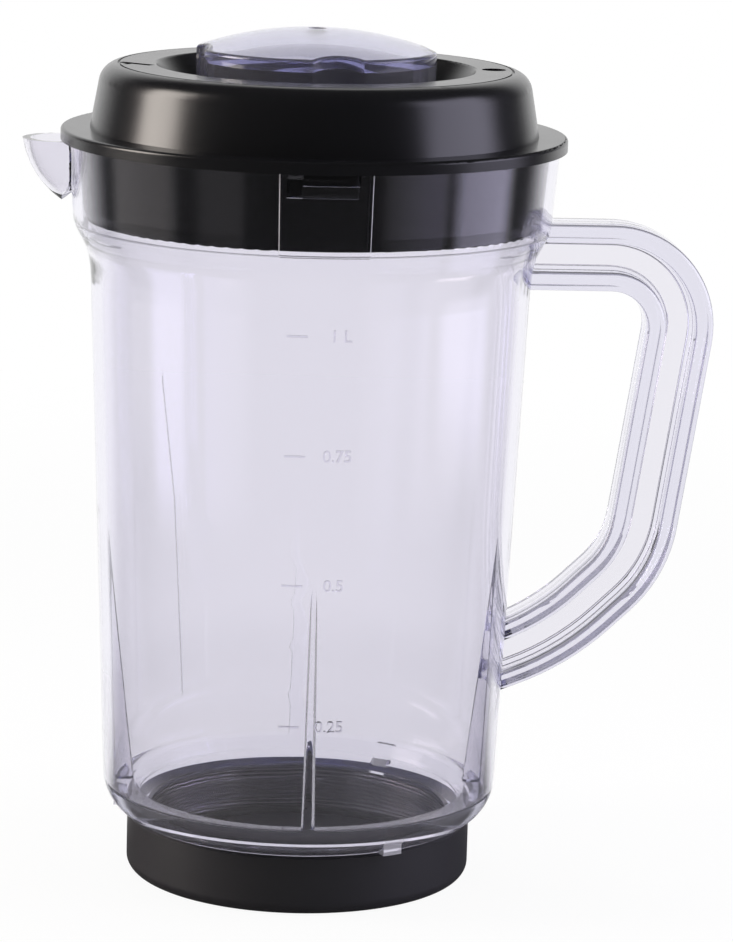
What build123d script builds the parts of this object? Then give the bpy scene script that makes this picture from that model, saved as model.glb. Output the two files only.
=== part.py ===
from build123d import *
from math import cos, hypot, radians, sin
import os

# Blender jar: a clear one-litre jug with a moulded handle, spout, ribs and lugs,
# a black bayonet lid, a clear fluted filler cap and a black screw cap at the bottom.
# Millimetres. Origin at the centre of the base cap's underside, +Z up, +X towards
# the handle, -X towards the spout, -Y towards the graduated front.

# Tapered body and the collar above it
BODY_FOOT_RADIUS = 49.3
BODY_DRAFT = 4.8
BODY_HEIGHT = 123.9
BODY_WALL = 2.4
FLARE_WIDTH = 4.7
FLARE_HEIGHT = 17.0
FLARE_SHARE = 0.36
FLARE_PLACE = 0.56
COLLAR_DRAFT = 1.4
COLLAR_HEIGHT = 18.0
COLLAR_WALL = 2.2
LEDGE_DROP = 1.6
LEDGE_WIDTH = 1.5

# Base cap
BASE_CAP_INSET = 6.2
BASE_CAP_HEIGHT = 15.0
BASE_CAP_WALL = 2.4
BASE_CAP_FLOOR = 2.4
BASE_CAP_CORNER = 3.0
BASE_CAP_LIP = 0.6
FOOT_RECESS = 0.6
FOOT_RING_WIDTH = 6.0

# Seal that lies on the cap's floor under the jar's neck
SEAL_THICKNESS = 1.8
SEAL_WIDTH = 3.9
SEAL_ROUND = 0.5
SEAL_CLEARANCE = 0.4

# Neck of the jar, which stands in the base cap
THREAD_ROOM = 1.3
NECK_WALL = 2.3
SHOULDER_GAP = 0.3

# Bottom shoulder of the jar
SHOULDER_OVERHANG = 0.2
SHOULDER_HEIGHT = 9.8
SHOULDER_ROUND = 10.8
STEP_WIDTH = 5.3
STEP_TAPER = 1.3
STEP_LIP = 0.6
STEP_RISE = 7.4
STEP_DEPTH = 3.5
CONE_DEPTH = 2.8
STEP_CORNER_ROUND = 0.8
STEP_EDGE_ROUND = 0.2
NECK_EDGE_ROUND = 0.3

# Inner ribs, deepest at the bottom
RIB_COUNT = 4
RIB_DEPTH = 5.2
RIB_HEIGHT = 63.0
RIB_FOOT_WIDTH = 3.2
RIB_TIP_WIDTH = 1.6
RIB_ROOT = 1.0

# Lugs under the shoulder that key the jar to a motor base
LUG_COUNT = 3
LUG_START_ANGLE = 57.0
LUG_WIDTH = 6.2
LUG_HEIGHT = 4.2
LUG_REACH = 3.3

# Handle: an I-section swept along the line of the grip
HANDLE_DROP = 26.5
HANDLE_LOW = 28.6
HANDLE_TOP_REACH = 39.9
HANDLE_GRIP_RISE = 27.6
HANDLE_GRIP_REACH = 31.6
HANDLE_ELBOW_RISE = 7.4
HANDLE_ELBOW_REACH = 11.3
HANDLE_TOP_BEND = 17.3
HANDLE_LOW_BEND = 28.0
HANDLE_ELBOW_BEND = 60.0
HANDLE_DEPTH = 16.6
HANDLE_WIDTH = 13.0
HANDLE_FLANGE = 4.8
HANDLE_WEB = 3.2
HANDLE_ROUND = 1.5
HANDLE_WEB_ROUND = 1.2
HANDLE_ROOT = 8.0

# Spout
SPOUT_REACH = 11.0
SPOUT_NOSE_RADIUS = 9.7
SPOUT_DEPTH = 15.2
SPOUT_BULGE = 1.9
SPOUT_WALL = 1.9

# Bayonet panels at the front and back of the collar
PANEL_ANGLES = (-90.0, 90.0)
PANEL_WIDTH = 20.8
PANEL_RISE = 0.7
PANEL_EDGE_ROUND = 0.35
PANEL_FOOT_DROP = 2.0
POCKET_SKIN = 0.9
POCKET_DROP = 5.7
POCKET_ROOF = 1.2
POCKET_CLOSED_WIDTH = 3.5
POCKET_OPEN_WIDTH = 12.7
NOTCH_DROP = 2.8
POCKET_OFFSET = -0.7

# Lid
LID_CLEARANCE = 0.4
LID_WALL = 2.2
LID_FLANGE_OVERHANG = 1.8
LID_FLANGE_HEIGHT = 3.0
LID_FLANGE_ROUND = 0.8
LID_HEIGHT = 18.7
LID_FOOT_INSET = 5.3
LID_SIDE_DRAFT = 2.8
LID_SHOULDER_ROUND = 5.0
LID_GROOVE_INSET = 4.0
LID_GROOVE_WIDTH = 0.6
LID_GROOVE_DEPTH = 0.4
LID_DIMPLE_RADIUS = 3.0
LID_DIMPLE_DEPTH = 1.0
LID_DIMPLE_INSET = 4.4
SKIRT_CLEARANCE_BELOW = 1.0
SKIRT_CHAMFER_HEIGHT = 3.0
SKIRT_CHAMFER_WIDTH = 0.9
SKIRT_WALL = 2.0
LID_LUG_WIDTH = 2.0
LID_LUG_CLEARANCE = 0.4
CRATER_ROOM = 4.2
CRATER_SLOPE_WIDTH = 5.6
CRATER_EDGE_ROUND = 0.8
CRATER_DEPTH = 9.2

# Filler cap
FILLER_RADIUS = 29.3
FILLER_FLUTES = 4
FLUTE_START_ANGLE = 7.8
FLUTE_DEPTH = 2.5
FLUTE_RADIUS = 11.3
FILLER_RIM_RISE = 4.2
FILLER_DOME_RISE = 5.1
FILLER_TOP = 3.6
FILLER_WALL = 1.9
FILLER_FLOOR = 1.8
FILLER_EDGE_ROUND = 0.9
FILLER_SEAT_GAP = 0.3
CROWN_DIMPLE_RADIUS = 2.3
CROWN_DIMPLE_DEPTH = 0.6
TUBE_RADIUS = 24.6
TUBE_WALL = 1.9
TUBE_CLEARANCE = 0.4
TUBE_BELOW_FLOOR = 5.0
TAB_COUNT = 2
TAB_WIDTH = 22.0
TAB_HEIGHT = 2.4
TAB_REACH = 2.2
TAB_CLEARANCE = 0.4
TAB_NOTCH_MARGIN = 2.5
FILLER_TURN = 60.0

# Heights that follow from the sizes above
floor_z = FOOT_RECESS + BASE_CAP_FLOOR
neck_foot_z = floor_z + SEAL_THICKNESS
shoulder_z = BASE_CAP_HEIGHT + SHOULDER_GAP
body_foot_z = shoulder_z + SHOULDER_HEIGHT
flare_z = body_foot_z + BODY_HEIGHT
collar_z = flare_z + FLARE_HEIGHT
rim_z = collar_z + COLLAR_HEIGHT
step_z = shoulder_z + STEP_RISE
ring_z = step_z - STEP_DEPTH
cone_z = ring_z - CONE_DEPTH
ledge_z = collar_z - LEDGE_DROP
lid_flange_z = rim_z + LID_FLANGE_HEIGHT
lid_top_z = rim_z + LID_HEIGHT
crater_z = lid_top_z - CRATER_DEPTH
crater_under_z = crater_z - LID_WALL
skirt_z = ledge_z + SKIRT_CLEARANCE_BELOW
filler_seat_z = crater_z + FILLER_SEAT_GAP
filler_rim_z = lid_top_z + FILLER_RIM_RISE
filler_top_z = filler_rim_z + FILLER_DOME_RISE

# Radii that follow from the sizes above
body_top_radius = BODY_FOOT_RADIUS + BODY_DRAFT
collar_foot_radius = body_top_radius + FLARE_WIDTH
rim_radius = collar_foot_radius + COLLAR_DRAFT
base_cap_radius = BODY_FOOT_RADIUS - BASE_CAP_INSET
base_cap_bore = base_cap_radius - BASE_CAP_WALL
neck_radius = base_cap_bore - THREAD_ROOM
neck_bore = neck_radius - NECK_WALL
shoulder_foot_radius = base_cap_radius + SHOULDER_OVERHANG
seal_radius = base_cap_bore - SEAL_CLEARANCE
lid_flange_radius = rim_radius + LID_FLANGE_OVERHANG
lid_foot_radius = rim_radius - LID_FOOT_INSET
lid_shoulder_radius = lid_foot_radius - LID_SIDE_DRAFT
lid_groove_radius = lid_shoulder_radius - LID_GROOVE_INSET
crater_foot_radius = FILLER_RADIUS + CRATER_ROOM
crater_edge_radius = crater_foot_radius + CRATER_SLOPE_WIDTH
lid_dimple_reach = crater_edge_radius + LID_DIMPLE_INSET
hole_radius = TUBE_RADIUS + TUBE_CLEARANCE
tab_radius = TUBE_RADIUS + TAB_REACH


def between(z, low_z, low_r, high_z, high_r):
    """Radius at height z on the straight side between two heights."""
    return low_r + (high_r - low_r) * (z - low_z) / (high_z - low_z)


def body_radius(z):
    """Outer radius of the tapered body at height z."""
    return between(z, body_foot_z, BODY_FOOT_RADIUS, flare_z, body_top_radius)


def collar_radius(z):
    """Outer radius of the collar at height z."""
    return between(z, collar_z, collar_foot_radius, rim_z, rim_radius)


def skirt_radius(z):
    """Outer radius of the lid's skirt, which follows the inside of the collar."""
    return collar_radius(z) - COLLAR_WALL - LID_CLEARANCE


def radial_plane(angle):
    """Upright plane through the axis: local x runs outwards at the angle, local y runs up."""
    outwards = (cos(radians(angle)), sin(radians(angle)), 0)
    return Plane(origin=(0, 0, 0), x_dir=outwards, z_dir=(outwards[1], -outwards[0], 0))


def level_plane(angle, z):
    """Level plane at height z: local x runs outwards at the angle."""
    return Plane(origin=(0, 0, z), x_dir=(cos(radians(angle)), sin(radians(angle)), 0), z_dir=(0, 0, 1))


def sector(start_angle, width, corners, mode=Mode.ADD):
    """Part of a ring: a closed outline of (radius, height) corners turned through a width in degrees."""
    with BuildSketch(radial_plane(start_angle)) as outline:
        with BuildLine():
            Polyline(*corners, close=True)
        make_face()
    revolve(outline.sketch, axis=Axis.Z, revolution_arc=width, mode=mode)


def block(inner_radius, outer_radius, low_z, high_z):
    """Corners of a plain ring section."""
    return [(inner_radius, low_z), (outer_radius, low_z), (outer_radius, high_z), (inner_radius, high_z)]


body_slope = BODY_DRAFT / BODY_HEIGHT
collar_slope = COLLAR_DRAFT / COLLAR_HEIGHT
flare_middle = (body_top_radius + FLARE_SHARE * FLARE_WIDTH, flare_z + FLARE_PLACE * FLARE_HEIGHT)
pocket_start = POCKET_OFFSET - (POCKET_CLOSED_WIDTH + POCKET_OPEN_WIDTH) / 2
pocket_low_z = rim_z - POCKET_DROP
notch_z = rim_z - NOTCH_DROP

# Line of the handle, from inside the collar to inside the body
handle_top_z = rim_z - HANDLE_DROP
handle_low_z = body_foot_z + HANDLE_LOW
grip_foot_z = handle_low_z + HANDLE_GRIP_RISE
elbow_z = handle_low_z + HANDLE_ELBOW_RISE
handle_points = [
    (body_top_radius - HANDLE_ROOT, handle_top_z),
    (body_top_radius + HANDLE_TOP_REACH, handle_top_z),
    (body_radius(grip_foot_z) + HANDLE_GRIP_REACH, grip_foot_z),
    (body_radius(elbow_z) + HANDLE_ELBOW_REACH, elbow_z),
    (body_radius(handle_low_z) - HANDLE_ROOT, handle_low_z),
]
handle_bends = [HANDLE_TOP_BEND, HANDLE_LOW_BEND, HANDLE_ELBOW_BEND]

# Axis of the spout's rounded nose
spout_x = -(rim_radius + SPOUT_REACH - SPOUT_NOSE_RADIUS)
spout_plane = Plane(origin=(spout_x, 0, 0), x_dir=(1, 0, 0), z_dir=(0, -1, 0))
spout_axis = Axis((spout_x, 0, 0), (0, 0, 1))


def spout_bowl(nose_radius, depth, mode=Mode.ADD):
    """Half bowl of the spout: a bulged side turned about the nose's upright axis."""
    foot = (0, rim_z - depth)
    lip = (nose_radius, rim_z)
    with BuildSketch(spout_plane) as side:
        with BuildLine():
            SagittaArc(foot, lip, -SPOUT_BULGE)
            Polyline(lip, (0, rim_z), foot)
        make_face()
    revolve(side.sketch, axis=spout_axis, mode=mode)


def is_panel_edge(edge):
    """True for the upright outer edges of the bayonet panels."""
    middle = edge.center()
    stands_out = hypot(middle.X, middle.Y) - collar_radius(middle.Z) > PANEL_RISE / 2
    return edge.geom_type == GeomType.LINE and middle.Z > ledge_z and stands_out and middle.X > spout_x / 2


def rib_section(root_radius, depth, width):
    """Level section of a rib: flat sides and a round nose towards the axis."""
    with Locations((root_radius, 0)):
        Rectangle(depth - width / 2, width, align=(Align.MAX, Align.CENTER))
    with Locations((root_radius - depth + width / 2, 0)):
        Circle(width / 2)


os.makedirs("parts", exist_ok=True)

# Jar
with BuildPart() as jar:
    # Handle
    with BuildLine(Plane.XZ) as handle_line:
        FilletPolyline(*handle_points, radius=handle_bends)
    handle_start = Plane(origin=handle_line.line @ 0, x_dir=(0, 1, 0), z_dir=(1, 0, 0))
    with BuildSketch(handle_start) as handle_section:
        with GridLocations(0, HANDLE_DEPTH - HANDLE_FLANGE, 1, 2):
            RectangleRounded(HANDLE_WIDTH, HANDLE_FLANGE, HANDLE_ROUND)
        Rectangle(HANDLE_WEB, HANDLE_DEPTH - HANDLE_FLANGE)
        web_corners = handle_section.vertices().filter_by_position(Axis.X, -HANDLE_WEB / 2, HANDLE_WEB / 2)
        fillet(web_corners, HANDLE_WEB_ROUND)
    sweep(path=handle_line.line)

    # Outside of the neck, shoulder, body, flare and collar
    with BuildSketch(Plane.XZ):
        with BuildLine():
            Polyline(
                (0, neck_foot_z),
                (neck_radius, neck_foot_z),
                (neck_radius, shoulder_z),
                (shoulder_foot_radius, shoulder_z),
            )
            RadiusArc((shoulder_foot_radius, shoulder_z), (BODY_FOOT_RADIUS, body_foot_z), -SHOULDER_ROUND)
            Line((BODY_FOOT_RADIUS, body_foot_z), (body_top_radius, flare_z))
            Spline(
                (body_top_radius, flare_z),
                flare_middle,
                (collar_foot_radius, collar_z),
                tangents=[(body_slope, 1), (collar_slope, 1)],
            )
            Polyline((collar_foot_radius, collar_z), (rim_radius, rim_z), (0, rim_z), (0, neck_foot_z))
        make_face()
    revolve(axis=Axis.Z)

    # Spout and the raised bayonet panels
    spout_bowl(SPOUT_NOSE_RADIUS, SPOUT_DEPTH)
    panel_foot_z = ledge_z - PANEL_FOOT_DROP
    for angle in PANEL_ANGLES:
        sector(
            angle - PANEL_WIDTH / 2,
            PANEL_WIDTH,
            [
                (body_top_radius, panel_foot_z),
                (collar_radius(ledge_z) + PANEL_RISE, ledge_z),
                (rim_radius + PANEL_RISE, rim_z),
                (body_top_radius, rim_z),
            ],
        )
    fillet(jar.edges().filter_by(is_panel_edge), PANEL_EDGE_ROUND)

    # Lugs under the shoulder
    for index in range(LUG_COUNT):
        lug_angle = LUG_START_ANGLE + index * 360 / LUG_COUNT
        sector(
            lug_angle - LUG_WIDTH / 2,
            LUG_WIDTH,
            block(neck_radius, shoulder_foot_radius + LUG_REACH, shoulder_z, shoulder_z + LUG_HEIGHT),
        )

    # Inside of the neck, step, body and collar
    body_bore_foot = body_radius(step_z) - BODY_WALL
    step_bore = body_bore_foot - STEP_WIDTH
    with BuildSketch(Plane.XZ):
        with BuildLine():
            Line((0, neck_foot_z), (neck_bore, neck_foot_z))
            FilletPolyline(
                (neck_bore, neck_foot_z),
                (neck_bore, cone_z),
                (step_bore - STEP_TAPER, ring_z),
                (step_bore - STEP_TAPER, ring_z + STEP_LIP),
                (step_bore, step_z),
                (body_bore_foot, step_z),
                (body_top_radius - BODY_WALL, flare_z),
                radius=[NECK_EDGE_ROUND, *[STEP_EDGE_ROUND] * 3, STEP_CORNER_ROUND],
            )
            Spline(
                (body_top_radius - BODY_WALL, flare_z),
                (flare_middle[0] - BODY_WALL, flare_middle[1]),
                (collar_radius(ledge_z) - COLLAR_WALL - LEDGE_WIDTH, ledge_z),
                tangents=[(body_slope, 1), (collar_slope, 1)],
            )
            Polyline(
                (collar_radius(ledge_z) - COLLAR_WALL - LEDGE_WIDTH, ledge_z),
                (collar_radius(ledge_z) - COLLAR_WALL, ledge_z),
                (rim_radius - COLLAR_WALL, rim_z),
                (0, rim_z),
                (0, neck_foot_z),
            )
        make_face()
    revolve(axis=Axis.Z, mode=Mode.SUBTRACT)

    # Channel of the spout
    spout_bowl(SPOUT_NOSE_RADIUS - SPOUT_WALL, SPOUT_DEPTH - SPOUT_WALL, mode=Mode.SUBTRACT)

    # Bayonet pockets: a slot under the rim, a wide notch through the rim beside it, and the
    # groove inside the wall that leads from the notch to the slot
    pocket_reach = rim_radius + 2 * PANEL_RISE
    groove_reach = collar_radius(pocket_low_z) + PANEL_RISE - POCKET_SKIN
    pocket_roof_z = rim_z - POCKET_ROOF
    for angle in PANEL_ANGLES:
        slot_angle = angle + pocket_start
        notch_angle = slot_angle + POCKET_CLOSED_WIDTH
        slot = block(body_top_radius, pocket_reach, pocket_low_z, pocket_roof_z)
        notch = block(body_top_radius, pocket_reach, notch_z, rim_z)
        groove = block(body_top_radius, groove_reach, pocket_low_z, notch_z)
        sector(slot_angle, POCKET_CLOSED_WIDTH, slot, mode=Mode.SUBTRACT)
        sector(notch_angle, POCKET_OPEN_WIDTH, notch, mode=Mode.SUBTRACT)
        sector(notch_angle, POCKET_OPEN_WIDTH, groove, mode=Mode.SUBTRACT)

    # Ribs on the inside of the body
    rib_top_z = step_z + RIB_HEIGHT
    rib_foot_root = body_bore_foot + RIB_ROOT
    rib_top_root = body_radius(rib_top_z) - BODY_WALL + RIB_ROOT
    for index in range(RIB_COUNT):
        rib_angle = index * 360 / RIB_COUNT
        with BuildSketch(level_plane(rib_angle, step_z)):
            rib_section(rib_foot_root, RIB_DEPTH + RIB_ROOT, RIB_FOOT_WIDTH)
        with BuildSketch(level_plane(rib_angle, rib_top_z)):
            rib_section(rib_top_root, RIB_ROOT, RIB_TIP_WIDTH)
        loft()
jar.part.label = "jar"
export_step(jar.part, "parts/jar.step")

# Lid
with BuildPart() as lid:
    lid_shoulder = (lid_shoulder_radius, lid_top_z)
    inner_shoulder = (lid_shoulder_radius - LID_WALL, lid_top_z - LID_WALL)
    with BuildSketch(Plane.XZ):
        with BuildLine():
            Line((hole_radius, crater_z), (crater_foot_radius, crater_z))
            FilletPolyline(
                (crater_foot_radius, crater_z),
                (crater_edge_radius, lid_top_z),
                lid_shoulder,
                (lid_foot_radius, lid_flange_z),
                radius=[CRATER_EDGE_ROUND, LID_SHOULDER_ROUND],
            )
            FilletPolyline(
                (lid_foot_radius, lid_flange_z),
                (lid_flange_radius, lid_flange_z),
                (lid_flange_radius, rim_z),
                radius=LID_FLANGE_ROUND,
            )
            Polyline(
                (lid_flange_radius, rim_z),
                (skirt_radius(rim_z), rim_z),
                (skirt_radius(skirt_z + SKIRT_CHAMFER_HEIGHT), skirt_z + SKIRT_CHAMFER_HEIGHT),
                (skirt_radius(skirt_z) - SKIRT_CHAMFER_WIDTH, skirt_z),
                (skirt_radius(skirt_z) - SKIRT_WALL, skirt_z),
                (skirt_radius(rim_z) - SKIRT_WALL, rim_z),
                (lid_foot_radius - LID_WALL, lid_flange_z),
            )
            FilletPolyline(
                (lid_foot_radius - LID_WALL, lid_flange_z),
                inner_shoulder,
                (crater_edge_radius + LID_WALL, lid_top_z - LID_WALL),
                (crater_foot_radius + LID_WALL, crater_under_z),
                radius=[LID_SHOULDER_ROUND - LID_WALL, CRATER_EDGE_ROUND],
            )
            Polyline(
                (crater_foot_radius + LID_WALL, crater_under_z),
                (hole_radius, crater_under_z),
                (hole_radius, crater_z),
            )
        make_face()
    revolve(axis=Axis.Z)

    # Fine groove round the top and the round dimple on the handle's side
    sector(
        0,
        360,
        block(
            lid_groove_radius - LID_GROOVE_WIDTH / 2,
            lid_groove_radius + LID_GROOVE_WIDTH / 2,
            lid_top_z - LID_GROOVE_DEPTH,
            lid_top_z,
        ),
        mode=Mode.SUBTRACT,
    )
    with Locations((lid_dimple_reach, 0, lid_top_z)):
        Hole(LID_DIMPLE_RADIUS, depth=LID_DIMPLE_DEPTH)

    # Bayonet lugs on the skirt, at rest in the closed ends of the pockets
    lid_lug_radius = groove_reach - LID_LUG_CLEARANCE
    lid_lug_z = pocket_low_z + LID_LUG_CLEARANCE
    lid_lug_start = pocket_start + (POCKET_CLOSED_WIDTH - LID_LUG_WIDTH) / 2
    for angle in PANEL_ANGLES:
        sector(
            angle + lid_lug_start,
            LID_LUG_WIDTH,
            block(
                skirt_radius(lid_lug_z) - SKIRT_WALL / 2,
                lid_lug_radius,
                lid_lug_z,
                pocket_roof_z - LID_LUG_CLEARANCE,
            ),
        )

    # Entry notches for the filler cap's tabs
    notch_width = TAB_WIDTH + 2 * TAB_NOTCH_MARGIN
    for index in range(TAB_COUNT):
        notch_angle = index * 360 / TAB_COUNT + FILLER_TURN
        sector(
            notch_angle - notch_width / 2,
            notch_width,
            block(TUBE_RADIUS, tab_radius + TAB_CLEARANCE, crater_under_z, crater_z),
            mode=Mode.SUBTRACT,
        )
lid.part.label = "lid"
export_step(lid.part, "parts/lid.step")


def fluted_outline(margin):
    """Outline of the filler cap's head, inset by a margin."""
    Circle(FILLER_RADIUS - margin)
    with PolarLocations(FILLER_RADIUS - FLUTE_DEPTH + FLUTE_RADIUS, FILLER_FLUTES, FLUTE_START_ANGLE):
        Circle(FLUTE_RADIUS + margin, mode=Mode.SUBTRACT)


def under_dome(drop):
    """Keeps what lies under the domed top lowered by a drop."""
    crown = (0, filler_top_z - drop)
    edge = (FILLER_RADIUS, filler_rim_z - drop)
    with BuildSketch(Plane.XZ) as side:
        with BuildLine():
            TangentArc(crown, edge, tangent=(1, 0))
            Polyline(edge, (FILLER_RADIUS, crater_z), (0, crater_z), crown)
        make_face()
    revolve(side.sketch, axis=Axis.Z, mode=Mode.INTERSECT)


# Hollow of the filler cap's head, above the floor ring that carries the tube
filler_floor_z = filler_seat_z + FILLER_FLOOR
with BuildPart() as filler_hollow:
    with BuildSketch(Plane.XY.offset(filler_floor_z)):
        fluted_outline(FILLER_WALL)
    extrude(amount=filler_top_z - filler_floor_z)
    under_dome(FILLER_TOP)

# Filler cap
with BuildPart() as filler_cap:
    # Fluted head under a dome
    with BuildSketch(Plane.XY.offset(filler_seat_z)):
        fluted_outline(0)
    extrude(amount=filler_top_z - filler_seat_z)
    under_dome(0)
    dome_edges = filler_cap.faces().sort_by(Axis.Z)[-1].edges()
    below_crown_z = filler_top_z - FILLER_DOME_RISE / 2
    fillet(dome_edges.filter_by(lambda edge: edge.bounding_box().max.Z < below_crown_z), FILLER_EDGE_ROUND)
    add(filler_hollow.part, mode=Mode.SUBTRACT)

    # Round tube that goes down through the lid's hole
    tube_foot_z = crater_under_z - TUBE_BELOW_FLOOR
    with BuildSketch(Plane.XY.offset(tube_foot_z)):
        Circle(TUBE_RADIUS)
    extrude(amount=filler_seat_z - tube_foot_z)
    with BuildSketch(Plane.XY.offset(tube_foot_z)):
        Circle(TUBE_RADIUS - TUBE_WALL)
    extrude(amount=filler_floor_z - tube_foot_z, mode=Mode.SUBTRACT)

    # Small moulded dimple at the crown
    with Locations((0, 0, filler_top_z)):
        Hole(CROWN_DIMPLE_RADIUS, depth=CROWN_DIMPLE_DEPTH)

    # Tabs that hold the cap under the crater's floor
    tab_top_z = crater_under_z - TAB_CLEARANCE
    for index in range(TAB_COUNT):
        sector(
            index * 360 / TAB_COUNT - TAB_WIDTH / 2,
            TAB_WIDTH,
            block(TUBE_RADIUS - TUBE_WALL / 2, tab_radius, tab_top_z - TAB_HEIGHT, tab_top_z),
        )
filler_cap.part.label = "filler_cap"
export_step(filler_cap.part, "parts/filler_cap.step")

# Base cap
with BuildPart() as base_cap:
    with BuildSketch(Plane.XZ):
        with BuildLine():
            foot_ring_bore = base_cap_radius - BASE_CAP_CORNER - FOOT_RING_WIDTH
            Polyline(
                (0, floor_z),
                (0, FOOT_RECESS),
                (foot_ring_bore, FOOT_RECESS),
                (foot_ring_bore, 0),
                (base_cap_radius - BASE_CAP_CORNER, 0),
            )
            RadiusArc(
                (base_cap_radius - BASE_CAP_CORNER, 0),
                (base_cap_radius, BASE_CAP_CORNER),
                -BASE_CAP_CORNER,
            )
            Polyline(
                (base_cap_radius, BASE_CAP_CORNER),
                (base_cap_radius, BASE_CAP_HEIGHT - BASE_CAP_LIP),
                (base_cap_radius - BASE_CAP_LIP, BASE_CAP_HEIGHT),
                (base_cap_bore + BASE_CAP_LIP, BASE_CAP_HEIGHT),
                (base_cap_bore, BASE_CAP_HEIGHT - BASE_CAP_LIP),
                (base_cap_bore, floor_z),
                (0, floor_z),
            )
        make_face()
    revolve(axis=Axis.Z)
base_cap.part.label = "base_cap"
export_step(base_cap.part, "parts/base_cap.step")

# Base seal
with BuildPart() as base_seal:
    with BuildSketch(Plane.XZ):
        with Locations((seal_radius, floor_z)):
            Rectangle(SEAL_WIDTH, SEAL_THICKNESS, align=(Align.MAX, Align.MIN))
    revolve(axis=Axis.Z)
    fillet(base_seal.edges().filter_by(GeomType.CIRCLE), SEAL_ROUND)
base_seal.part.label = "base_seal"
export_step(base_seal.part, "parts/base_seal.step")
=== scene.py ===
import math

import bpy
from mathutils import Matrix, Vector


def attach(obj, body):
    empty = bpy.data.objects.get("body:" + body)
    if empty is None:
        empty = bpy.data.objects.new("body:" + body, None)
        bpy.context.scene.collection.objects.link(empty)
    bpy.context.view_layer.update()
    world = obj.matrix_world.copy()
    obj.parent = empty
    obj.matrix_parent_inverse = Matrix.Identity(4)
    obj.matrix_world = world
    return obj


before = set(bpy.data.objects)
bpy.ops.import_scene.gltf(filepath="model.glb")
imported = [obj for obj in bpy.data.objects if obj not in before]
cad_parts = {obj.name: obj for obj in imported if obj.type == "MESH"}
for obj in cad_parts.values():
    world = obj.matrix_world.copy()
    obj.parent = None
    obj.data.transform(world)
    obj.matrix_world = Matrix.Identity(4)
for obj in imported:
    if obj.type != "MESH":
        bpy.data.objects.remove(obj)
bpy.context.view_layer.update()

bl_info = {
    "name": "Blender Jar Looks",
    "version": (1, 0, 0),
    "blender": (4, 5, 0),
    "location": "View3D > Sidebar > Blender Jar",
    "description": "Dresses the clear jar, its black lid and caps, and sets the studio stage",
    "category": "Object",
}

# A millimetre and a tenth of one in metres, and the colour white
MM = 0.001
TENTH = 0.1 * MM
WHITE = (1.0, 1.0, 1.0, 1.0)

# Straight side of the jar's body, as (height, outer radius) at its foot and top
BODY_FOOT = (25.1 * MM, 49.3 * MM)
BODY_TOP = (149.0 * MM, 54.1 * MM)

# Graduations on the front: turn of the lines and numbers, and each label with its height
DASH_TURN = math.radians(-96.1)
NUMBER_TURN = math.radians(-85.1)
GRADUATIONS = (
    ("0.25", 49.5 * MM),
    ("0.5", 84.5 * MM),
    ("0.75", 116.1 * MM),
    ("1 L", 145.0 * MM),
)

# Making of the graduations: cuts of a line, and straight and rounded share of a number's rise
DASH_CUTS = 5
NUMBER_STRAIGHT = 0.7
NUMBER_ROUND = 0.3
MERGE_DISTANCE = 0.001 * MM
SMOOTH_ANGLE = math.radians(40)

# Hairline scratch on the body's outside, as (turn, height) at its foot, bend and top
SCRATCH = (
    (math.radians(-127.5), 56.8 * MM),
    (math.radians(-129.7), 102.9 * MM),
    (math.radians(-133.4), 130.9 * MM),
)
# Angles at which the scratch starts to fade and is gone, length of its faded ends, and its finish
SCRATCH_HALF = (0.0025, 0.0055)
SCRATCH_END = 4.0 * MM
SCRATCH_COLOUR = (0.55, 0.54, 0.58, 1.0)
SCRATCH_ROUGHNESS = 0.4

# Stamped bar on the lid's flat top, from end to end, with its half width and finish
LID_TOP = 202.7 * MM
LID_MARK = ((-47.6 * MM, 0.0), (-40.2 * MM, -5.8 * MM))
MARK_HALF = 1.1 * MM
MARK_COLOUR = (0.002, 0.002, 0.002, 1.0)
MARK_ROUGHNESS = 0.9
# Tick beside the bar: where along the bar it stands, as shares, and how far it reaches
TICK_SPAN = (0.3, 0.45)
TICK_REACH = 2.8 * MM

# Screw thread of the neck and the cap: wall and crest radius, and the height at which it starts
NECK_THREAD = (39.2 * MM, 40.25 * MM, 6.6 * MM)
CAP_THREAD = (40.85 * MM, 39.85 * MM, 7.1 * MM)
THREAD_STARTS = 3
THREAD_STEPS = 96
THREAD_RUN_OUT = 16
CREST_NARROWING = 3

# Inner wall of the base cap: its heights, its polish, and painted highlight lines on the crests
# between its rounds
CAP_INSIDE = (4.0 * MM, 14.6 * MM)
CAP_POLISH = 0.75
CREST_HIGHLIGHT_COLOUR = (0.20, 0.193, 0.205, 1.0)
CREST_HIGHLIGHT_RISE = (0.2, 0.9)
CREST_RELIEF = 0.16

# Black plastic: size of its mottle and grain, and what they do. Finishes are (roughness, grain)
MOTTLE_SIZE = 18.0 * MM
MOTTLE_LIGHTER = 1.25
MOTTLE_ROUGHER = 0.06
GRAIN_SIZE = 0.6 * MM
GRAIN_RELIEF = 0.1
LID_FINISH = (0.2, 0.1)
BASE_FINISH = (0.4, 0.25)
SEAL_FINISH = (0.6, 0.3)
SEAL_COLOUR = (0.02, 0.02, 0.02)

# Clear plastic: its colours, how much denser the filler cap is, its moulded waves and its polish
PLASTIC_IOR = 1.5
CLEAR_COLOUR = (0.938, 0.925, 0.972, 1.0)
FILLER_COLOUR = (0.80, 0.79, 0.87, 1.0)
FILLER_DENSER = 2.2
WAVE_SIZE = 22.0 * MM
WAVE_STRENGTH = 0.02
HAZE_SIZE = 35.0 * MM
POLISH = 0.006
POLISH_IN_HAZE = 0.012

# Wear of the clear plastic, whose whitish finish also carries the painted highlights: finish,
# share in the jar and the filler cap, and spread by the haze
WEAR_AND_HIGHLIGHT_COLOUR = (0.85, 0.84, 0.90, 1.0)
WEAR_AND_HIGHLIGHT_ROUGHNESS = 0.4
JAR_WEAR = 0.042
FILLER_WEAR = 0.05
WEAR_LEAST = 0.6
WEAR_IN_HAZE = 0.8
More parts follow.
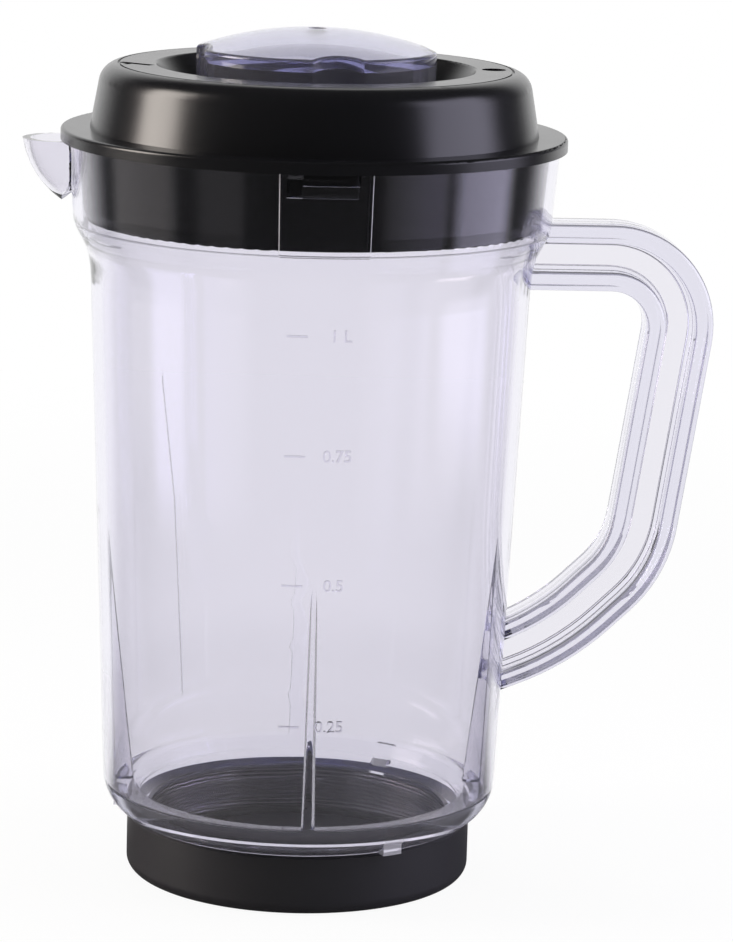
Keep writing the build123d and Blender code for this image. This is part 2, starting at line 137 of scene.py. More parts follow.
# Heights between which the wear ends low on the jar, and starts again under the lid's top
WEAR_TOP = (42.0 * MM, 60.0 * MM)
WEAR_AGAIN = (LID_TOP - 20.0 * MM, LID_TOP - 15.0 * MM)

# Painted highlight on the lug under the shoulder's front, as a whitish satin coat: turn, half
# width, inner radius, top and share of the painted highlight
LUG_TURN = math.radians(-63.0)
LUG_HALF = math.radians(3.4)
LUG_SIDE = 0.003
LUG_INSIDE = 43.6 * MM
LUG_TOP = 19.6 * MM
LUG_HIGHLIGHT_SHARE = 0.35

# Painted highlight lines, as a whitish satin coat, on the upright edges of a bayonet panel: half
# width, soft side, heights, and reach beyond the ledge
PANEL_HALF = math.radians(10.4)
PANEL_SIDE = (0.002, 0.004)
PANEL_SPAN = (166.0 * MM, 184.0 * MM, 1.0 * MM)
PANEL_OUT = (1.5 * MM, 2.0 * MM)
# Painted highlight line on the ledge inside the collar: height, inner and outer radius, and share
# of the painted highlight on edges and ledge
LEDGE = (164.4 * MM, 54.8 * MM, 56.7 * MM)
EDGE_HIGHLIGHT_SHARE = 0.5

# Satin dimple on the filler cap's crown: lowest height, edge of the radius and share of satin
CROWN_FOOT = 211.1 * MM
CROWN_EDGE = (2.5 * MM, 2.8 * MM)
CROWN_SATIN = 0.6

# Camera: place, aim and lens of the photograph, which is taller than wide
CAMERA_DISTANCE = 1.0
CAMERA_HEIGHT = 0.3072
CAMERA_TURN = math.radians(-3.0)
CAMERA_YAW = math.radians(0.858)
CAMERA_PITCH = math.radians(11.58)
CAMERA_ROLL = math.radians(1.6)
PHOTO_HEIGHT_PX = 942
FOCAL_PX = 4104
SENSOR_MM = 36.0

# Lamps: name, place, width, height, power and colour of each soft box, and where they all aim
LAMP_AIM = (0, 0, 0.17)
LAMPS = (
    ("left box", (-0.5, -0.03, 0.24), 0.17, 0.46, 2.6, (1.0, 0.93, 0.87)),
    ("right box", (0.48, -0.1, 0.24), 0.42, 0.46, 2.5, (0.88, 0.86, 1.0)),
    ("top box", (0.0, 0.2, 1.1), 0.9, 0.7, 5.0, (1.0, 1.0, 1.0)),
)
GLASS_BOUNCES = 32
GLOSS_BOUNCES = 24

# Levels of the studio that gloss and glass show, where 1 is white
STUDIO_AMBIENT = 0.25
STUDIO_FRONT = 0.06
FRONT_ASTRAY = 0.45
SIDES_IN_GLASS = 0.35
SIDES_DEEP_IN_GLASS = 10.5
LEFT_LEVEL = 10.5
RIGHT_LEVEL = 3.2
LEFT_COLOUR = (1.0, 0.92, 0.85, 1.0)
RIGHT_COLOUR = (0.83, 0.80, 1.0, 1.0)
LEFT_FLOOR_LEVEL = 0.32
RIGHT_FLOOR_LEVEL = 1.3
FLOOR_IN_GLASS = 1.7
LEFT_FRONT_LEVEL = 0.28
RIGHT_FRONT_LEVEL = 0.95

# What the studio reads of a ray, and the passes through glass after which it counts as deep
RAY_FACTS = (
    "Is Camera Ray",
    "Is Glossy Ray",
    "Is Transmission Ray",
    "Glossy Depth",
    "Transmission Depth",
)
DEEP_PASSES = 6

# Soft boxes in the world: heights, start of a side, and slopes of y over x, with soft edges
BOX_HEIGHTS = (-0.05, 0.45, 0.25)
BOX_START = (0.2, 0.3)
LEFT_SLOPES = (-0.13, 0.17, 0.15)
RIGHT_SLOPES = (-0.5, 0.05, 0.3)
DEEP_START = (0.2, 0.6)
DEEP_SLOPES = (-0.7, 0.3, 0.4)
WORLD_BEHIND = (0.6, 0.9)

# The same on the floor, in metres from the jar's axis and in slopes, and the floor's own look
FLOOR_START = (0.38, 0.62)
LEFT_FLOOR_SLOPES = (-0.25, 0.25, 0.2)
RIGHT_FLOOR_SLOPES = (-0.3, 0.1, 0.2)
FRONT_START = (0.0, 0.1)
LEFT_FRONT_SLOPES = (-1.3, -0.75, 0.25)
RIGHT_FRONT_RISE = (-1.9, -0.6)
RIGHT_FRONT_FALL = (-0.6, -0.45)
FLOOR_BEHIND = (0.4, 0.75)
FLOOR_FAR = (0.25, 0.7)
FLOOR_SIZE = 12.0
FLOOR_COLOUR = (0.9, 0.9, 0.9, 1.0)
FLOOR_LIFT = 0.93

# Sockets of a Mix node that take its two colours and give the result
MIX_FIRST = 6
MIX_SECOND = 7
MIX_RESULT = 2


class Value:
    """A shader socket. Operators on it add Math nodes to its node tree."""

    def __init__(self, nodes, socket):
        self.nodes = nodes
        self.socket = socket

    def math(self, operation, *values):
        inputs = dict(enumerate(values))
        return self.nodes.node("ShaderNodeMath", {"operation": operation}, inputs)

    def __add__(self, other):
        return self.math("ADD", self, other)

    def __radd__(self, other):
        return self.math("ADD", other, self)

    def __sub__(self, other):
        return self.math("SUBTRACT", self, other)

    def __rsub__(self, other):
        return self.math("SUBTRACT", other, self)

    def __mul__(self, other):
        return self.math("MULTIPLY", self, other)

    def __rmul__(self, other):
        return self.math("MULTIPLY", other, self)

    def __truediv__(self, other):
        return self.math("DIVIDE", self, other)

    def __abs__(self):
        return self.math("ABSOLUTE", self)

    def root(self):
        return self.math("SQRT", self)

    def sine(self):
        return self.math("SINE", self)

    def angle_to(self, other):
        """Angle of the point (other, self) round the origin, in radians."""
        return self.math("ARCTAN2", self, other)

    def smaller(self, other):
        return self.math("MINIMUM", self, other)

    def larger(self, other):
        return self.math("MAXIMUM", self, other)

    def rise(self, start, end, shape="SMOOTHSTEP"):
        """0 before start, 1 after end, and a smooth step between them."""
        inputs = {"Value": self, "From Min": start, "From Max": end}
        return self.nodes.node("ShaderNodeMapRange", {"interpolation_type": shape}, inputs)

    def ramp(self, start, end):
        """0 before start, 1 after end, and even between them."""
        return self.rise(start, end, "LINEAR")

    def within(self, low, high, soft):
        """1 between low and high, falling to 0 over a soft edge outside them."""
        return self.rise(low - soft, low) * (1 - self.rise(high, high + soft))


class Nodes:
    """A node tree. A new node gets its settings first, then its sockets' values or links."""

    def __init__(self, tree):
        self.tree = tree

    def node(self, kind, settings=None, inputs=None, output=0):
        """Adds a node and returns one of its outputs."""
        node = self.tree.nodes.new(kind)
        for name, value in (settings or {}).items():
            setattr(node, name, value)
        for name, value in (inputs or {}).items():
            self.feed(node.inputs[name], value)
        return None if output is None else Value(self, node.outputs[output])

    def feed(self, socket, value):
        """Links or sets one input socket."""
        if isinstance(value, Value):
            self.tree.links.new(value.socket, socket)
        else:
            socket.default_value = value

    def place(self, kind="Object"):
        """Coordinates as a vector and as x, y and z."""
        vector = self.node("ShaderNodeTexCoord", output=kind)
        split = ("ShaderNodeSeparateXYZ", None, {0: vector})
        return (vector, *(self.node(*split, output=axis) for axis in "XYZ"))

    def blend(self, factor, first, second):
        """Colour between two colours."""
        inputs = {"Factor": factor, MIX_FIRST: first, MIX_SECOND: second}
        return self.node("ShaderNodeMix", {"data_type": "RGBA"}, inputs, output=MIX_RESULT)


class Shade(Nodes):
    """Node tree of one material, with its Principled shader."""

    def __init__(self, name, **constants):
        self.material = bpy.data.materials.new(name)
        self.material.use_nodes = True
        super().__init__(self.material.node_tree)
        self.tree.nodes.clear()
        self.output = self.tree.nodes.new("ShaderNodeOutputMaterial")
        self.shader = self.tree.nodes.new("ShaderNodeBsdfPrincipled")
        self.tree.links.new(self.shader.outputs["BSDF"], self.output.inputs["Surface"])
        for socket, value in constants.items():
            self.shader.inputs[socket.replace("_", " ")].default_value = value

    def set(self, socket, value):
        """Gives the shader a varying value."""
        self.feed(self.shader.inputs[socket], value)

    def over(self, share, **constants):
        """Lays a second finish over the shader, by a share from 0 to 1."""
        second = {socket.replace("_", " "): value for socket, value in constants.items()}
        finish = self.node("ShaderNodeBsdfPrincipled", None, second)
        first = Value(self, self.shader.outputs["BSDF"])
        both = self.node("ShaderNodeMixShader", None, {0: share, 1: first, 2: finish})
        self.feed(self.output.inputs["Surface"], both)

    def noise(self, vector, size, detail=2.0):
        """Soft noise with blotches of about the given size in metres."""
        inputs = {"Vector": vector, "Scale": 1 / size, "Detail": detail}
        return self.node("ShaderNodeTexNoise", None, inputs, output="Fac")

    def bump(self, height, strength, distance):
        """Feeds the shader's normal from a height in units of distance."""
        inputs = {"Height": height, "Strength": strength, "Distance": distance}
        self.set("Normal", self.node("ShaderNodeBump", None, inputs))

    def absorb(self, colour, density):
        """Colours light by the length of its way through the solid."""
        inputs = {"Color": colour, "Density": density}
        volume = self.node("ShaderNodeVolumeAbsorption", None, inputs)
        self.feed(self.output.inputs["Volume"], volume)


def dress(piece, material):
    """Gives a piece one material."""
    piece.data.materials.clear()
    piece.data.materials.append(material)


def settings():
    return bpy.context.scene.blender_jar


def from_axis(x, y):
    """Distance from the jar's axis."""
    return (x * x + y * y).root()


def clear_plastic(name, colour, tint, density, worn):
    """Polished clear plastic, faintly wavy, tinted by its thickness, cloudy where worn, and with
    painted highlights on the front lug, the panel edges and the ledge.
    """
    shade = Shade(name, Transmission_Weight=1.0, IOR=PLASTIC_IOR, Metallic=0.0)
    vector, x, y, z = shade.place()
    waves = shade.noise(vector, WAVE_SIZE, detail=1.0)
    haze = shade.noise(vector, HAZE_SIZE)
    scratch = hairline(x, y, z)
    shade.set("Base Color", shade.blend(scratch, colour, SCRATCH_COLOUR))
    shade.set("Roughness", POLISH + POLISH_IN_HAZE * haze + SCRATCH_ROUGHNESS * scratch)
    shade.bump(waves, WAVE_STRENGTH, TENTH)
    shade.absorb((*tint, 1.0), density)
    heights = (1 - z.rise(*WEAR_TOP)).larger(z.rise(*WEAR_AGAIN))
    cloud = worn * (WEAR_LEAST + WEAR_IN_HAZE * haze) * heights
    crown = z.rise(CROWN_FOOT, CROWN_FOOT + 2 * TENTH) * (1 - from_axis(x, y).rise(*CROWN_EDGE))
    # The whitish satin finish laid over the plastic is real wear and the crown's gate dimple, and
    # painted highlight on the front lug and the collar's edges.
    wear_and_highlights = cloud.larger(painted_lug_highlight(x, y, z)).larger(crown * CROWN_SATIN)
    wear_and_highlights = wear_and_highlights.larger(collar_edge_highlights(x, y, z) * EDGE_HIGHLIGHT_SHARE)
    shade.over(wear_and_highlights, Base_Color=WEAR_AND_HIGHLIGHT_COLOUR, Roughness=WEAR_AND_HIGHLIGHT_ROUGHNESS)
    return shade.material


def collar_edge_highlights(x, y, z):
    """1 where highlight lines are painted: on the upright edges of the bayonet panels and on the
    ledge inside the collar.
    """
    around = from_axis(x, y)
    level, inner, outer = LEDGE
    aside = abs(abs(abs(y.angle_to(x)) - math.pi / 2) - PANEL_HALF)
    start, end = PANEL_OUT
    upright = (1 - aside.rise(*PANEL_SIDE)) * around.rise(outer + start, outer + end)
    upright = upright * z.within(*PANEL_SPAN)
    ledge = z.within(level - 2 * TENTH, level + TENTH, TENTH)
    ledge = ledge * around.within(inner, outer, 2 * TENTH)
    return upright.larger(ledge)


def painted_lug_highlight(x, y, z):
    """How much painted highlight, as a whitish satin coat, the front lug under the shoulder gets,
    and 0 elsewhere.
    """
    near = 1 - abs(y.angle_to(x) - LUG_TURN).rise(LUG_HALF - LUG_SIDE, LUG_HALF)
    outside = from_axis(x, y).rise(LUG_INSIDE, LUG_INSIDE + 3 * TENTH)
    return LUG_HIGHLIGHT_SHARE * near * outside * (1 - z.rise(LUG_TOP - 2 * TENTH, LUG_TOP))


def hairline(x, y, z):
    """1 on the long hairline scratch down the front left of the body's outside."""
    (low_turn, low), (bend_turn, bend), (high_turn, high) = SCRATCH
    (foot, foot_radius), (top, top_radius) = BODY_FOOT, BODY_TOP
    first = z.ramp(low, bend) * (bend_turn - low_turn)
    second = z.ramp(bend, high) * (high_turn - bend_turn)
    aside = abs(y.angle_to(x) - low_turn - first - second)
    outside = from_axis(x, y) - z.ramp(foot, top) * (top_radius - foot_radius)
    on_skin = outside.rise(foot_radius - 8 * TENTH, foot_radius - 4 * TENTH)
    return z.within(low, high, SCRATCH_END) * (1 - aside.rise(*SCRATCH_HALF)) * on_skin


def black_plastic(name, colour, roughness, grain):
    """Black moulded plastic with a fine grain, and painted highlight lines on the crests of the
    rounds on the base cap's inner wall.
    """
    shade = Shade(name, IOR=PLASTIC_IOR, Metallic=0.0)
    vector, x, y, z = shade.place()
    mottle = shade.noise(vector, MOTTLE_SIZE)
    fine = shade.noise(vector, GRAIN_SIZE, detail=1.0)
    lighter = tuple(c * MOTTLE_LIGHTER for c in colour)
    inside = cap_inside(x, y, z)
    shade.set("Roughness", (roughness + MOTTLE_ROUGHER * mottle) * (1 - CAP_POLISH * inside))
    per_metre = 2 * math.pi * THREAD_STARTS / settings().thread_lead
    rounds = (z * per_metre - y.angle_to(x) * THREAD_STARTS).sine()
    plain = shade.blend(mottle, (*colour, 1.0), (*lighter, 1.0))
    # Lighter crests on the inner wall's rounds: painted highlight lines laid into the base colour
    shade.set("Base Color", shade.blend(inside * rounds.rise(*CREST_HIGHLIGHT_RISE), plain, CREST_HIGHLIGHT_COLOUR))
    relief = fine * (GRAIN_RELIEF * grain) + inside * rounds * CREST_RELIEF
    shade.bump(relief, 1.0, 5 * TENTH)
    mark = stamped_mark(x, y, z)
    shade.over(mark, Base_Color=MARK_COLOUR, Roughness=MARK_ROUGHNESS, Specular_IOR_Level=0.0)
    return shade.material


def cap_inside(x, y, z):
    """1 on the base cap's inner wall, which carries the thread, and 0 elsewhere."""
    wall, crest, _ = CAP_THREAD
    around = from_axis(x, y)
    return around.within(crest - 2 * TENTH, wall, TENTH) * z.within(*CAP_INSIDE, 5 * TENTH)


def stamped_mark(x, y, z):
    """1 in the short stamped bar with a tick on the lid's top, beside the spout."""
    (start_x, start_y), (end_x, end_y) = LID_MARK
    length = math.hypot(end_x - start_x, end_y - start_y)
    run_x, run_y = (end_x - start_x) / length, (end_y - start_y) / length
    along = (x - start_x) * run_x + (y - start_y) * run_y
    across = (y - start_y) * run_x - (x - start_x) * run_y
    edge = 2 * TENTH
    bar = along.within(0.0, length, edge) * across.within(-MARK_HALF, MARK_HALF, edge)
    tick = along.within(*(share * length for share in TICK_SPAN), edge)
    tick = tick * across.within(-TICK_REACH, MARK_HALF, edge)
    return bar.larger(tick) * z.rise(LID_TOP - 2 * TENTH, LID_TOP - TENTH)


def only(piece):
    """Makes a piece the one that is selected and active."""
    bpy.ops.object.select_all(action="DESELECT")
    piece.select_set(True)
    bpy.context.view_layer.objects.active = piece


def finish_piece(piece, name, body, material):
    """Names, smooths and dresses a new piece, and lets it ride on its body."""
    piece.name = name
    piece.data.name = name
    only(piece)
    bpy.ops.object.shade_smooth_by_angle(angle=SMOOTH_ANGLE)
    dress(piece, material)
    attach(piece, body)


def thread_ridge(name, body, slot, material, root, crest, foot, turn):
    """Helical ridge of a screw thread, whose ends run out into the wall that carries it."""
    sizes = settings()
    bpy.ops.object.select_all(action="DESELECT")
    bpy.ops.mesh.primitive_plane_add(size=1.0, location=(0, 0, 0))
    ridge = bpy.context.object
    half = sizes.thread_width / 2
    crest_half = half / CREST_NARROWING
    section = [(root, -half), (crest, -crest_half), (root, half), (crest, crest_half)]
    for vertex, (radius, rise) in zip(ridge.data.vertices, section):
        vertex.co = (radius, 0, foot + rise)
    bpy.ops.object.mode_set(mode="EDIT")
    bpy.ops.mesh.select_all(action="SELECT")
    bpy.ops.mesh.delete(type="ONLY_FACE")
    bpy.ops.object.mode_set(mode="OBJECT")
    screw = ridge.modifiers.new("thread", "SCREW")
    screw.axis = "Z"
    screw.angle = 2 * math.pi
    screw.screw_offset = sizes.thread_lead
    screw.iterations = sizes.thread_turns
    screw.steps = screw.render_steps = THREAD_STEPS
    bpy.ops.object.modifier_apply(modifier=screw.name)
    bpy.ops.object.mode_set(mode="EDIT")
    bpy.ops.mesh.select_all(action="DESELECT")
    bpy.ops.mesh.select_non_manifold()
    bpy.ops.mesh.fill_holes(sides=len(section))
    bpy.ops.mesh.select_all(action="SELECT")
    bpy.ops.mesh.normals_make_consistent(inside=False)
    bpy.ops.object.mode_set(mode="OBJECT")
    ridge.data.transform(Matrix.Rotation(turn, 4, "Z"))
    last = len(ridge.data.vertices) // len(section) - 1
    for vertex in ridge.data.vertices:
        step = vertex.index // len(section)
        fade = min(1.0, step / THREAD_RUN_OUT, (last - step) / THREAD_RUN_OUT)
        radius = math.hypot(vertex.co.x, vertex.co.y)
        shrink = (root + (radius - root) * fade) / radius
        vertex.co.x *= shrink
        vertex.co.y *= shrink
    finish_piece(ridge, name, body, material)


def body_radius(level):
    """Outer radius of the jar's body at a height."""
    share = (level - BODY_FOOT[0]) / (BODY_TOP[0] - BODY_FOOT[0])
    return BODY_FOOT[1] + (BODY_TOP[1] - BODY_FOOT[1]) * share


def wrap_on_body(piece, turn, level):
    """Bends a flat piece round the body: its x runs round, its y up and its z outwards."""
    for vertex in piece.data.vertices:
        height = level + vertex.co.y
        radius = body_radius(height) + vertex.co.z
        angle = turn + vertex.co.x / body_radius(level)
        vertex.co = (radius * math.cos(angle), radius * math.sin(angle), height)


def raised_dash(name, level):
    """Raised line of one graduation."""
    sizes = settings()
    bpy.ops.object.select_all(action="DESELECT")
    bpy.ops.mesh.primitive_cube_add(size=1.0, location=(0, 0, 0))
    dash = bpy.context.object
    bpy.ops.object.mode_set(mode="EDIT")
    bpy.ops.mesh.subdivide(number_cuts=DASH_CUTS)
    bpy.ops.object.mode_set(mode="OBJECT")
    for vertex in dash.data.vertices:
        vertex.co.x *= sizes.dash_length
        vertex.co.y *= sizes.dash_width
        vertex.co.z *= 2 * sizes.mark_rise
    bevel = dash.modifiers.new("round", "BEVEL")
    bevel.width = sizes.mark_rise / 2
    bevel.segments = 2
    bpy.ops.object.modifier_apply(modifier=bevel.name)
    wrap_on_body(dash, DASH_TURN, level)
    finish_piece(dash, name, "jar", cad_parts["jar"].data.materials[0])


def raised_number(name, label, level):
    """Raised number of one graduation."""
    sizes = settings()
    bpy.ops.object.select_all(action="DESELECT")
    bpy.ops.object.text_add(location=(0, 0, 0))
    number = bpy.context.object
    number.data.body = label
    number.data.size = sizes.number_size
    number.data.align_x = "CENTER"
    number.data.align_y = "CENTER"
    number.data.extrude = NUMBER_STRAIGHT * sizes.mark_rise
    number.data.bevel_depth = NUMBER_ROUND * sizes.mark_rise
    number.data.bevel_resolution = 1
    bpy.ops.object.convert(target="MESH")
    number = bpy.context.object
    bpy.ops.object.mode_set(mode="EDIT")
    bpy.ops.mesh.select_all(action="SELECT")
    bpy.ops.mesh.remove_doubles(threshold=MERGE_DISTANCE)
    bpy.ops.mesh.normals_make_consistent(inside=False)
    bpy.ops.object.mode_set(mode="OBJECT")
    wrap_on_body(number, NUMBER_TURN, level)
    finish_piece(number, name, "jar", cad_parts["jar"].data.materials[0])


def soft_light(name, place, width, height, power, colour):
    """Rectangular soft box that faces the jar. It lights the object, and shows in nothing."""
    lamp = bpy.data.lights.new(name, "AREA")
    lamp.shape = "RECTANGLE"
    lamp.size = width
    lamp.size_y = height
    lamp.energy = power
    lamp.color = colour
    holder = bpy.data.objects.new(name, lamp)
    holder.location = place
    facing = Vector(LAMP_AIM) - Vector(place)
    holder.rotation_euler = facing.to_track_quat("-Z", "Y").to_euler()
    holder.visible_camera = False
    holder.visible_glossy = False
    holder.visible_transmission = False
    bpy.context.scene.collection.objects.link(holder)


class Studio(Nodes):
    """Node tree of the world or the floor, and how a ray sees the studio in it."""

    def __init__(self, tree):
        super().__init__(tree)
        camera, gloss, glass, mirrorings, passes = (
            self.node("ShaderNodeLightPath", output=fact) for fact in RAY_FACTS
        )
        # 1 for the camera, gloss and glass, and 0 for light on the object
        self.seen = camera.larger(gloss).larger(glass)
        # 1 for a ray that was mirrored, and 1 for a ray that went through glass
        self.mirrored = mirrorings.smaller(1.0)
        self.in_glass = passes.smaller(1.0)
        # 1 for a ray in glass that was mirrored twice, and 1 for a deep one that wasn't
        twice = (mirrorings - 1).smaller(1.0).larger(0.0)
        self.astray = self.in_glass * twice
        self.deep = (passes - DEEP_PASSES).smaller(1.0).larger(0.0) * (1 - twice)

    def mirror(self, behind, left, right):
        """Colour and level of the mirrored studio: dim in front, white behind, boxes aside."""
        front = STUDIO_FRONT + FRONT_ASTRAY * self.astray
        level = front + (1 - front) * behind + left + right
        warm = self.blend(self.mirrored * left.smaller(1.0), WHITE, LEFT_COLOUR)
        return self.blend(self.mirrored * right.smaller(1.0), warm, RIGHT_COLOUR), level


def white_world():
    """White all round for the camera and through glass, a studio for gloss, even soft light."""
    world = bpy.data.worlds.new("studio")
    world.use_nodes = True
    world.cycles.sampling_method = "NONE"
    nodes = Studio(world.node_tree)
    _, x, y, z = nodes.place("Generated")
    leftward = 0 - x
    standing = z.within(*BOX_HEIGHTS)
    shared = 1 - (1 - SIDES_IN_GLASS) * nodes.in_glass
    left = leftward.rise(*BOX_START) * (y / leftward).within(*LEFT_SLOPES)
    left = left * standing * LEFT_LEVEL * shared
    right = x.rise(*BOX_START) * (y / x).within(*RIGHT_SLOPES)
    right = right * standing * RIGHT_LEVEL * shared
    sides = abs(x).rise(*DEEP_START) * (y / abs(x)).within(*DEEP_SLOPES)
    sides = sides * standing * nodes.deep
    behind = y.rise(*WORLD_BEHIND) + sides * SIDES_DEEP_IN_GLASS
    colour, level = nodes.mirror(behind, left, right)
    shown = 1 - nodes.mirrored * (1 - level)
    back = nodes.tree.nodes["Background"]
    nodes.feed(back.inputs["Color"], colour)
    nodes.feed(back.inputs["Strength"], STUDIO_AMBIENT + nodes.seen * (shown - STUDIO_AMBIENT))
    return world


def pale_floor():
    """Matte pale floor, lifted towards white for the camera, which keeps the object's shadow."""
    material = bpy.data.materials.new("pale floor")
    material.use_nodes = True
    material.node_tree.nodes.clear()
    nodes = Studio(material.node_tree)
    _, x, y, _ = nodes.place()
    leftward = 0 - x
    away = from_axis(x, y)
    deeper = 1 + (FLOOR_IN_GLASS - 1) * nodes.in_glass
    left = leftward.rise(*FLOOR_START) * (y / leftward).within(*LEFT_FLOOR_SLOPES)
    left = left * LEFT_FLOOR_LEVEL * deeper
    right = x.rise(*FLOOR_START) * (y / x).within(*RIGHT_FLOOR_SLOPES)
    right = right * RIGHT_FLOOR_LEVEL * deeper
    front = away.rise(*FLOOR_START) * nodes.in_glass
    left_front = front * leftward.rise(*FRONT_START) * (y / leftward).within(*LEFT_FRONT_SLOPES)
    left = left + left_front * LEFT_FRONT_LEVEL
    right_front = front * x.rise(*FRONT_START) * (y / x).ramp(*RIGHT_FRONT_RISE)
    right_front = right_front * (1 - (y / x).rise(*RIGHT_FRONT_FALL))
    right = right + right_front * RIGHT_FRONT_LEVEL
    colour, level = nodes.mirror((y / away).rise(*FLOOR_BEHIND), left, right)
    far = away.rise(*FLOOR_FAR)
    matte = nodes.node("ShaderNodeBsdfDiffuse", None, {"Color": FLOOR_COLOUR})
    strength = 1 - nodes.mirrored * (1 - level)
    glow = nodes.node("ShaderNodeEmission", None, {"Color": colour, "Strength": strength})
    share = nodes.seen * (FLOOR_LIFT + (1 - FLOOR_LIFT) * nodes.mirrored.larger(far))
    both = nodes.node("ShaderNodeMixShader", None, {0: share, 1: matte, 2: glow})
    nodes.node("ShaderNodeOutputMaterial", None, {"Surface": both}, output=None)
    return material


def photo_camera():
    """Camera with the place, aim and lens of the photograph."""
    lens = bpy.data.cameras.new("photo camera")
    lens.sensor_width = SENSOR_MM
    lens.lens = FOCAL_PX * SENSOR_MM / PHOTO_HEIGHT_PX
    holder = bpy.data.objects.new("photo camera", lens)
    turn = Matrix.Rotation(CAMERA_TURN, 3, "Z")
    aim = Vector(
        (
            math.sin(CAMERA_YAW) * math.cos(CAMERA_PITCH),
            math.cos(CAMERA_YAW) * math.cos(CAMERA_PITCH),
            -math.sin(CAMERA_PITCH),
        )
    )
    level_right = aim.cross(Vector((0, 0, 1))).normalized()
    level_up = level_right.cross(aim)
    right = math.cos(CAMERA_ROLL) * level_right + math.sin(CAMERA_ROLL) * level_up
    up = right.cross(aim)
    axes = turn @ Matrix((right, up, -aim)).transposed()
    place = turn @ Vector((0, -CAMERA_DISTANCE, CAMERA_HEIGHT))
    holder.matrix_world = Matrix.Translation(place) @ axes.to_4x4()
    return holder


class JarSettings(bpy.types.PropertyGroup):
    """Sizes and colours of the jar's looks."""

    clear_tint: bpy.props.FloatVectorProperty(
        name="Clear tint",
        description="Colour that the clear plastic takes where light goes a long way through it",
        subtype="COLOR",
        default=(0.60, 0.60, 0.80),
        min=0.0,
        max=1.0,
    )
    clear_density: bpy.props.FloatProperty(
        name="Clear density",
        description="How fast the clear plastic takes its tint, per metre",
        default=25.0,
        min=0.0,
    )
    lid_colour: bpy.props.FloatVectorProperty(
        name="Lid colour",
        description="Colour of the black lid",
        subtype="COLOR",
        default=(0.006, 0.006, 0.007),
        min=0.0,
        max=1.0,
    )
    base_colour: bpy.props.FloatVectorProperty(
        name="Base colour",
        description="Colour of the black base cap",
        subtype="COLOR",
        default=(0.019, 0.0182, 0.021),
        min=0.0,
        max=1.0,
    )
    thread_lead: bpy.props.FloatProperty(
        name="Thread lead",
        description="Rise of the screw thread in one turn",
        default=3.0 * MM,
        unit="LENGTH",
    )
    thread_turns: bpy.props.IntProperty(
        name="Thread turns",
        description="Whole turns of the screw thread",
        default=2,
        min=1,
    )
    thread_width: bpy.props.FloatProperty(
        name="Thread width",
        description="Width of the thread's ridge at its foot",
        default=0.62 * MM,
        unit="LENGTH",
    )
    dash_length: bpy.props.FloatProperty(
        name="Dash length",
        description="Length of a graduation's line",
        default=5.0 * MM,
        unit="LENGTH",
    )
    dash_width: bpy.props.FloatProperty(
        name="Dash width",
        description="Width of a graduation's line",
        default=0.5 * MM,
        unit="LENGTH",
    )
    number_size: bpy.props.FloatProperty(
        name="Number size",
        description="Size of the graduations' numbers",
        default=4.1 * MM,
        unit="LENGTH",
    )
    mark_rise: bpy.props.FloatProperty(
        name="Mark rise",
        description="How far the graduations stand out of the body",
        default=0.14 * MM,
        unit="LENGTH",
    )


class JAR_OT_clear_parts(bpy.types.Operator):
    """Clear plastic on the jar and the filler cap"""

    bl_idname = "blender_jar.clear_parts"
    bl_label = "Clear parts"

    def execute(self, context):
        tint = tuple(settings().clear_tint)
        density = settings().clear_density
        denser = FILLER_DENSER * density
        jar = clear_plastic("jar clear plastic", CLEAR_COLOUR, tint, density, JAR_WEAR)
        filler = clear_plastic("filler clear plastic", FILLER_COLOUR, tint, denser, FILLER_WEAR)
        dress(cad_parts["jar"], jar)
        dress(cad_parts["filler_cap"], filler)
        return {"FINISHED"}


class JAR_OT_black_parts(bpy.types.Operator):
    """Black plastic on the lid and base cap, and rubber on the seal"""

    bl_idname = "blender_jar.black_parts"
    bl_label = "Black parts"

    def execute(self, context):
        lid = black_plastic("lid plastic", tuple(settings().lid_colour), *LID_FINISH)
        base = black_plastic("base cap plastic", tuple(settings().base_colour), *BASE_FINISH)
        seal = black_plastic("seal rubber", SEAL_COLOUR, *SEAL_FINISH)
        dress(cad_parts["lid"], lid)
        dress(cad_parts["base_cap"], base)
        dress(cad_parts["base_seal"], seal)
        return {"FINISHED"}


class JAR_OT_threads(bpy.types.Operator):
    """Screw thread on the jar's neck and in the base cap"""

    bl_idname = "blender_jar.threads"
    bl_label = "Threads"

    def execute(self, context):
        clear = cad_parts["jar"].data.materials[0]
        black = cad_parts["base_cap"].data.materials[0]
        for start in range(THREAD_STARTS):
            turn = 2 * math.pi * start / THREAD_STARTS
            neck, cap = "neck_thread_%d" % start, "cap_thread_%d" % start
            thread_ridge(neck, "jar", "clear_jar", clear, *NECK_THREAD, turn)
            thread_ridge(cap, "base_cap", "black_base", black, *CAP_THREAD, turn)
        return {"FINISHED"}


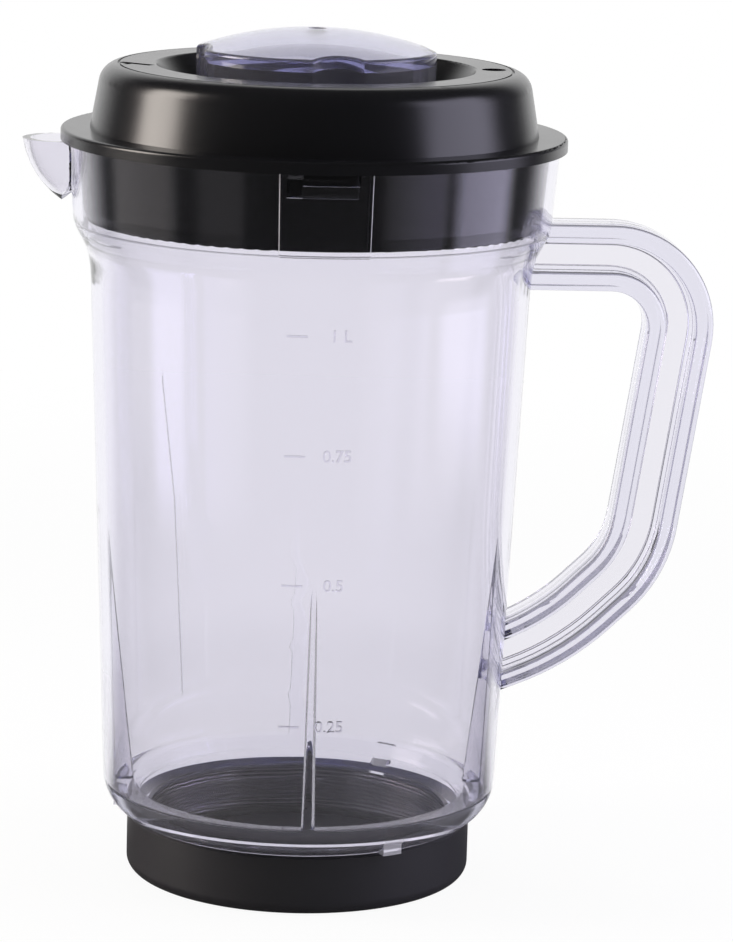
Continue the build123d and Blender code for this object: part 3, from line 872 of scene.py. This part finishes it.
class JAR_OT_graduations(bpy.types.Operator):
    """Raised lines and numbers on the jar's front"""

    bl_idname = "blender_jar.graduations"
    bl_label = "Graduations"

    def execute(self, context):
        for index, (label, level) in enumerate(GRADUATIONS):
            raised_dash("graduation_line_%d" % index, level)
            raised_number("graduation_number_%d" % index, label, level)
        return {"FINISHED"}


class JAR_OT_stage(bpy.types.Operator):
    """White studio: floor, soft light and the camera of the photograph"""

    bl_idname = "blender_jar.stage"
    bl_label = "Stage"

    def execute(self, context):
        scene = context.scene
        scene.view_settings.view_transform = "Standard"
        scene.world = white_world()
        scene.cycles.max_bounces = GLASS_BOUNCES
        scene.cycles.transmission_bounces = GLASS_BOUNCES
        scene.cycles.glossy_bounces = GLOSS_BOUNCES

        bpy.ops.object.select_all(action="DESELECT")
        bpy.ops.mesh.primitive_plane_add(size=FLOOR_SIZE, location=(0, 0, 0))
        floor = context.object
        floor.name = "floor"
        floor.data.materials.append(pale_floor())

        for lamp in LAMPS:
            soft_light(*lamp)

        camera = photo_camera()
        scene.collection.objects.link(camera)
        scene.camera = camera
        return {"FINISHED"}


class JAR_PT_sidebar(bpy.types.Panel):
    """Buttons for the jar's looks"""

    bl_idname = "JAR_PT_sidebar"
    bl_label = "Blender Jar"
    bl_space_type = "VIEW_3D"
    bl_region_type = "UI"
    bl_category = "Blender Jar"

    def draw(self, context):
        for operator in OPERATORS:
            self.layout.operator(operator.bl_idname)


OPERATORS = (
    JAR_OT_clear_parts,
    JAR_OT_black_parts,
    JAR_OT_threads,
    JAR_OT_graduations,
    JAR_OT_stage,
)
CLASSES = (JarSettings, *OPERATORS, JAR_PT_sidebar)


def register():
    for item in CLASSES:
        bpy.utils.register_class(item)
    bpy.types.Scene.blender_jar = bpy.props.PointerProperty(type=JarSettings)


def unregister():
    del bpy.types.Scene.blender_jar
    for item in reversed(CLASSES):
        bpy.utils.unregister_class(item)


def main():
    register()
    bpy.ops.blender_jar.clear_parts()
    bpy.ops.blender_jar.black_parts()
    bpy.ops.blender_jar.threads()
    bpy.ops.blender_jar.graduations()
    bpy.ops.blender_jar.stage()


if __name__ == "__main__":
    main()
